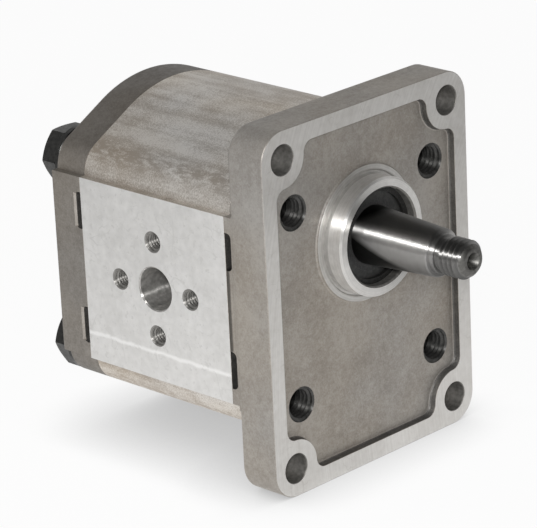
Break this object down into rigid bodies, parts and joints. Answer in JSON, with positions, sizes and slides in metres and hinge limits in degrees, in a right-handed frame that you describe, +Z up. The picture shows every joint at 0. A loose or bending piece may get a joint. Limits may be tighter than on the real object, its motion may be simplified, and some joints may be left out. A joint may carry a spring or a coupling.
{
  "type": "hydraulic gear motor",
  "caption": "External gear motor with a rectangular flange, round spigot, tapered threaded shaft and opposed flanged side ports.",
  "frame": {"origin": "where the drive shaft's axis meets the mounting face (the flange's machined front rim)", "axes": "-Y along the drive shaft, out of the motor; +Z up, from the driven gear to the drive gear; +X to the right seen from the shaft end"},
  "size_m": [0.089, 0.1408, 0.114],
  "materials": {
    "cast_aluminium": "as cast, machined on the rim and the spigot",
    "extruded_aluminium": "as extruded, milled port faces",
    "bearing_aluminium": "fine turned",
    "ground_steel": "ground and polished",
    "key_steel": "drawn",
    "bush_bronze": "lined bearing strip",
    "seal_case_steel": "black coated",
    "seal_rubber": "moulded",
    "backup_plastic": "moulded",
    "spring_steel": "black phosphated",
    "black_steel": "black oxide"
  },
  "bodies": {
    "casing": {"front_flange": "cast_aluminium", "gear_housing": "extruded_aluminium", "rear_cover": "cast_aluminium", "front_bearing_block": "bearing_aluminium", "rear_bearing_block": "bearing_aluminium", "front_drive_bush": "bush_bronze", "front_driven_bush": "bush_bronze", "rear_drive_bush": "bush_bronze", "rear_driven_bush": "bush_bronze", "shaft_seal_case": "seal_case_steel", "shaft_seal_lip": "seal_rubber", "seal_garter_spring": "spring_steel", "seal_retaining_ring": "spring_steel", "front_body_seal": "seal_rubber", "rear_body_seal": "seal_rubber", "front_balance_seal": "seal_rubber", "rear_balance_seal": "seal_rubber", "front_backup_ring": "backup_plastic", "rear_backup_ring": "backup_plastic", "through_bolts": "black_steel", "bolt_washers": "black_steel", "front_dowels": "ground_steel", "rear_dowels": "ground_steel"},
    "drive_shaft": {"drive_gear_shaft": "ground_steel", "woodruff_key": "key_steel"},
    "driven_shaft": {"driven_gear_shaft": "ground_steel"}
  },
  "joints": [
    {"name": "drive_spin", "type": "hinge", "parent": "casing", "child": "drive_shaft", "pos_m": [0, 0, 0], "axis": [0, 1, 0], "continuous": true},
    {"name": "driven_spin", "type": "hinge", "parent": "casing", "child": "driven_shaft", "pos_m": [0, 0, -0.0312], "axis": [0, 1, 0], "continuous": true}
  ],
  "couplings": [
    {"joint": "driven_spin", "follows": "drive_spin", "ratio": -1}
  ]
}
